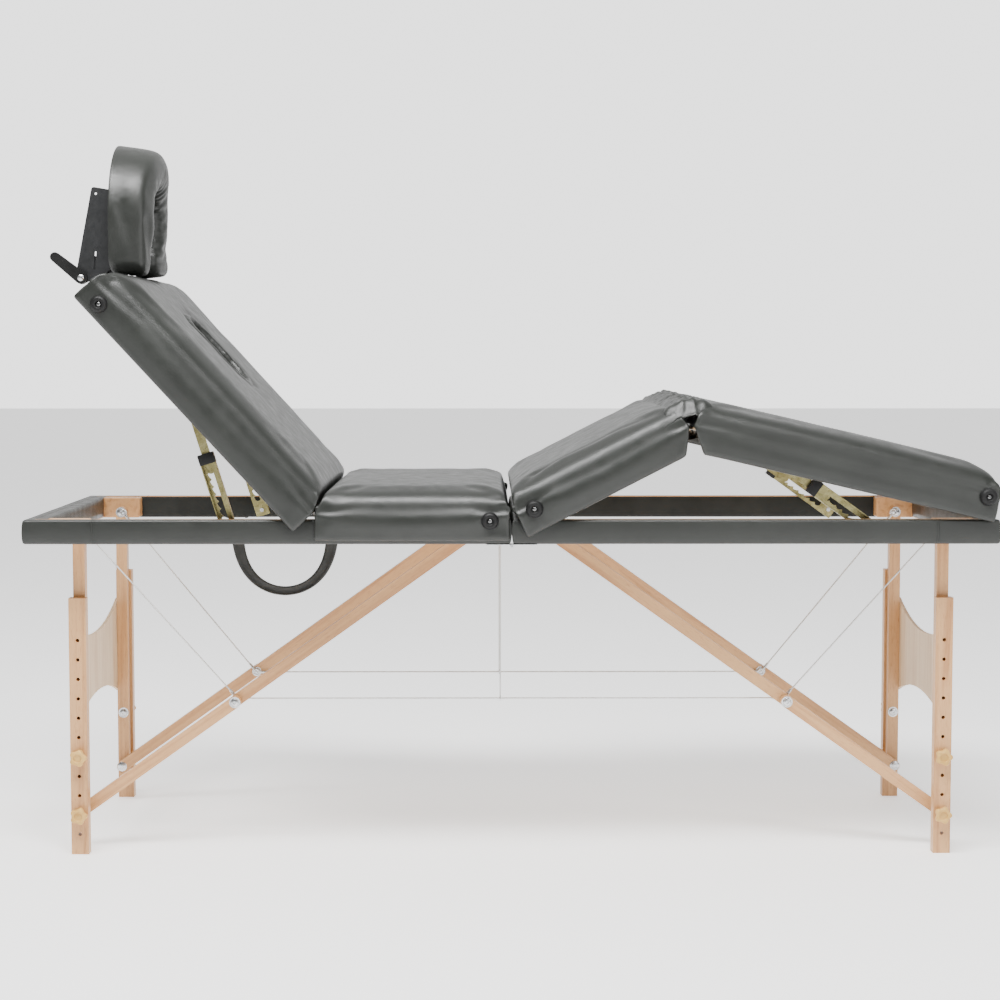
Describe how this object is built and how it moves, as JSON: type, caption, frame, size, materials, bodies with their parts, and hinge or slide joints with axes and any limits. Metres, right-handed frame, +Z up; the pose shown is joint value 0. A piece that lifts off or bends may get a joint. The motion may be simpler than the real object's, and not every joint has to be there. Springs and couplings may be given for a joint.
{
  "type": "portable massage table",
  "caption": "Folding treatment table with a raised back, jointed leg sections, face cradle, wooden frame and height-adjustable legs braced by struts and cables.",
  "frame": {"origin": "on the floor, under the middle of the table's length and width", "axes": "+X along the table from the back section to the leg sections, +Y across it to the side with the carry handle, +Z up"},
  "size_m": [1.77, 0.6918, 1.324],
  "materials": {
    "cushion_vinyl": "anthracite vinyl-coated fabric over foam, satin",
    "rail_vinyl": "anthracite vinyl wrapped tight over wooden rails",
    "strap": "folded and sewn vinyl strap",
    "beech": "clear satin varnish on straight-grained beech",
    "leg_panel": "pale varnished plywood",
    "plywood": "bare plywood board",
    "stay": "yellow zinc-plated pressed steel",
    "bumper": "black rubber with a metal screw",
    "knob": "pale wood-yellow moulded plastic",
    "cable": "thin steel wire rope in a clear pale sleeve",
    "black_metal": "black powder coat",
    "black_plastic": "black moulded plastic"
  },
  "bodies": {
    "left_frame": {"left_frame_rails": "rail_vinyl", "left_leg_beam": "beech", "left_strut_beam": "beech", "seat_board": "plywood", "seat_cushion": "cushion_vinyl", "seat_bumper": "bumper", "cable_near": "cable", "cable_far": "cable"},
    "right_frame": {"right_frame_rails": "rail_vinyl", "right_leg_beam": "beech", "right_strut_beam": "beech"},
    "back_section": {"back_board": "plywood", "back_cushion": "cushion_vinyl", "back_bumper": "bumper"},
    "back_stay_channels": {"back_stay_channel_near": "stay", "back_stay_channel_far": "stay"},
    "back_stay_bars": {"back_stay_bar_near": "stay", "back_stay_bar_far": "stay"},
    "thigh_section": {"thigh_board": "plywood", "thigh_cushion": "cushion_vinyl", "thigh_bumper": "bumper"},
    "calf_section": {"calf_board": "plywood", "calf_cushion": "cushion_vinyl", "calf_bumper": "bumper"},
    "calf_stay_channels": {"calf_stay_channel_near": "stay", "calf_stay_channel_far": "stay"},
    "calf_stay_bars": {"calf_stay_bar_near": "stay", "calf_stay_bar_far": "stay"},
    "cradle_frame": {"cradle_frame": "black_metal"},
    "cradle_head": {"cradle_bracket": "black_metal", "cradle_board": "black_plastic", "cradle_cushion": "cushion_vinyl"},
    "cradle_lever": {"cradle_lever": "black_plastic"},
    "carry_handle": {"carry_handle": "strap"},
    "left_legs": {"left_upper_leg_near": "beech", "left_upper_leg_far": "beech", "left_leg_panel": "leg_panel"},
    "left_lower_struts": {"left_lower_strut_near": "beech", "left_lower_strut_far": "beech"},
    "left_upper_struts": {"left_upper_strut_near": "beech", "left_upper_strut_far": "beech"},
    "left_lower_leg_near": {"left_lower_leg_near": "beech"},
    "left_foot_knob_near": {"left_foot_knob_near": "knob"},
    "left_upper_knob_near": {"left_upper_knob_near": "knob"},
    "left_lower_leg_far": {"left_lower_leg_far": "beech"},
    "left_foot_knob_far": {"left_foot_knob_far": "knob"},
    "left_upper_knob_far": {"left_upper_knob_far": "knob"},
    "right_legs": {"right_upper_leg_near": "beech", "right_upper_leg_far": "beech", "right_leg_panel": "leg_panel"},
    "right_lower_struts": {"right_lower_strut_near": "beech", "right_lower_strut_far": "beech"},
    "right_upper_struts": {"right_upper_strut_near": "beech", "right_upper_strut_far": "beech"},
    "right_lower_leg_near": {"right_lower_leg_near": "beech"},
    "right_foot_knob_near": {"right_foot_knob_near": "knob"},
    "right_upper_knob_near": {"right_upper_knob_near": "knob"},
    "right_lower_leg_far": {"right_lower_leg_far": "beech"},
    "right_foot_knob_far": {"right_foot_knob_far": "knob"},
    "right_upper_knob_far": {"right_upper_knob_far": "knob"}
  },
  "joints": [
    {"name": "half_fold", "type": "hinge", "parent": "left_frame", "child": "right_frame", "pos_m": [0, 0, 0.58], "axis": [0, 1, 0], "range_deg": [0, 100], "deforming": ["cable_near", "cable_far"]},
    {"name": "back_recline", "type": "hinge", "parent": "left_frame", "child": "back_section", "pos_m": [-0.36, 0, 0.634], "axis": [0, 1, 0], "range_deg": [-47.3, 0]},
    {"name": "back_stay_channel_turn", "type": "hinge", "parent": "left_frame", "child": "back_stay_channels", "pos_m": [-0.515, 0, 0.601], "axis": [0, 1, 0], "range_deg": [-69, 0]},
    {"name": "back_stay_bar_turn", "type": "hinge", "parent": "back_section", "child": "back_stay_bars", "pos_m": [-0.59386, 0, 0.85499], "axis": [0, 1, 0], "range_deg": [-21.7, 0]},
    {"name": "thigh_raise", "type": "hinge", "parent": "right_frame", "child": "thigh_section", "pos_m": [0.006, 0, 0.634], "axis": [0, -1, 0], "range_deg": [-27.2, 0]},
    {"name": "calf_bend", "type": "hinge", "parent": "thigh_section", "child": "calf_section", "pos_m": [0.32352, 0, 0.79719], "axis": [0, -1, 0], "range_deg": [0, 40.4]},
    {"name": "calf_stay_channel_turn", "type": "hinge", "parent": "right_frame", "child": "calf_stay_channels", "pos_m": [0.669, 0, 0.601], "axis": [0, -1, 0], "range_deg": [0, 31.4]},
    {"name": "calf_stay_bar_turn", "type": "hinge", "parent": "calf_section", "child": "calf_stay_bars", "pos_m": [0.47817, 0, 0.73832], "axis": [0, -1, 0], "range_deg": [0, 18.2]},
    {"name": "cradle_slide", "type": "slide", "parent": "back_section", "child": "cradle_frame", "axis": [-0.6782, 0, 0.7349], "range_m": [0, 0.07]},
    {"name": "cradle_tilt", "type": "hinge", "parent": "cradle_frame", "child": "cradle_head", "pos_m": [-0.812, 0, 1.07], "axis": [0, -1, 0], "range_deg": [0, 50]},
    {"name": "cradle_lever_turn", "type": "hinge", "parent": "cradle_frame", "child": "cradle_lever", "pos_m": [-0.812, 0, 1.07], "axis": [0, -1, 0], "range_deg": [0, 60]},
    {"name": "carry_handle_swing", "type": "hinge", "parent": "left_frame", "child": "carry_handle", "pos_m": [-0.4715, 0.3165, 0.578], "axis": [1, 0, 0], "range_deg": [-60, 80]},
    {"name": "left_leg_fold", "type": "hinge", "parent": "left_frame", "child": "left_legs", "pos_m": [-0.8, 0, 0.6], "axis": [0, -1, 0], "range_deg": [0, 90], "deforming": ["cable_near", "cable_far"]},
    {"name": "left_lower_strut_turn", "type": "hinge", "parent": "left_legs", "child": "left_lower_struts", "pos_m": [-0.8, 0, 0.074], "axis": [0, -1, 0], "range_deg": [0, 54.6]},
    {"name": "left_upper_strut_turn", "type": "hinge", "parent": "left_frame", "child": "left_upper_struts", "pos_m": [-0.06257, 0, 0.6], "axis": [0, 1, 0], "range_deg": [0, 37.2]},
    {"name": "left_lower_leg_near_height", "type": "slide", "parent": "left_legs", "child": "left_lower_leg_near", "axis": [0, 0, 1], "range_m": [-0.2172, 0.0362]},
    {"name": "left_foot_knob_near_turn", "type": "hinge", "parent": "left_legs", "child": "left_foot_knob_near", "pos_m": [-0.8, -0.275, 0.074], "axis": [0, -1, 0], "continuous": true},
    {"name": "left_upper_knob_near_turn", "type": "hinge", "parent": "left_legs", "child": "left_upper_knob_near", "pos_m": [-0.8, -0.275, 0.1826], "axis": [0, -1, 0], "continuous": true},
    {"name": "left_lower_leg_far_height", "type": "slide", "parent": "left_legs", "child": "left_lower_leg_far", "axis": [0, 0, 1], "range_m": [-0.2172, 0.0362]},
    {"name": "left_foot_knob_far_turn", "type": "hinge", "parent": "left_legs", "child": "left_foot_knob_far", "pos_m": [-0.8, 0.275, 0.074], "axis": [0, 1, 0], "continuous": true},
    {"name": "left_upper_knob_far_turn", "type": "hinge", "parent": "left_legs", "child": "left_upper_knob_far", "pos_m": [-0.8, 0.275, 0.1826], "axis": [0, 1, 0], "continuous": true},
    {"name": "right_leg_fold", "type": "hinge", "parent": "right_frame", "child": "right_legs", "pos_m": [0.8, 0, 0.6], "axis": [0, 1, 0], "range_deg": [0, 90], "deforming": ["cable_near", "cable_far"]},
    {"name": "right_lower_strut_turn", "type": "hinge", "parent": "right_legs", "child": "right_lower_struts", "pos_m": [0.8, 0, 0.074], "axis": [0, 1, 0], "range_deg": [0, 54.6]},
    {"name": "right_upper_strut_turn", "type": "hinge", "parent": "right_frame", "child": "right_upper_struts", "pos_m": [0.06257, 0, 0.6], "axis": [0, -1, 0], "range_deg": [0, 37.2]},
    {"name": "right_lower_leg_near_height", "type": "slide", "parent": "right_legs", "child": "right_lower_leg_near", "axis": [0, 0, 1], "range_m": [-0.2172, 0.0362]},
    {"name": "right_foot_knob_near_turn", "type": "hinge", "parent": "right_legs", "child": "right_foot_knob_near", "pos_m": [0.8, -0.275, 0.074], "axis": [0, -1, 0], "continuous": true},
    {"name": "right_upper_knob_near_turn", "type": "hinge", "parent": "right_legs", "child": "right_upper_knob_near", "pos_m": [0.8, -0.275, 0.1826], "axis": [0, -1, 0], "continuous": true},
    {"name": "right_lower_leg_far_height", "type": "slide", "parent": "right_legs", "child": "right_lower_leg_far", "axis": [0, 0, 1], "range_m": [-0.2172, 0.0362]},
    {"name": "right_foot_knob_far_turn", "type": "hinge", "parent": "right_legs", "child": "right_foot_knob_far", "pos_m": [0.8, 0.275, 0.074], "axis": [0, 1, 0], "continuous": true},
    {"name": "right_upper_knob_far_turn", "type": "hinge", "parent": "right_legs", "child": "right_upper_knob_far", "pos_m": [0.8, 0.275, 0.1826], "axis": [0, 1, 0], "continuous": true}
  ],
  "couplings": [
    {"joint": "back_stay_channel_turn", "follows": "back_recline", "ratio": 1.4579},
    {"joint": "back_stay_bar_turn", "follows": "back_recline", "ratio": 0.4579},
    {"joint": "calf_bend", "follows": "thigh_raise", "ratio": -1.4853},
    {"joint": "calf_stay_channel_turn", "follows": "thigh_raise", "ratio": -1.1511},
    {"joint": "calf_stay_bar_turn", "follows": "thigh_raise", "ratio": -0.6658},
    {"joint": "left_lower_strut_turn", "follows": "left_leg_fold", "ratio": 0.60556},
    {"joint": "left_upper_strut_turn", "follows": "left_leg_fold", "ratio": 0.41222},
    {"joint": "right_lower_strut_turn", "follows": "right_leg_fold", "ratio": 0.60556},
    {"joint": "right_upper_strut_turn", "follows": "right_leg_fold", "ratio": 0.41222}
  ]
}
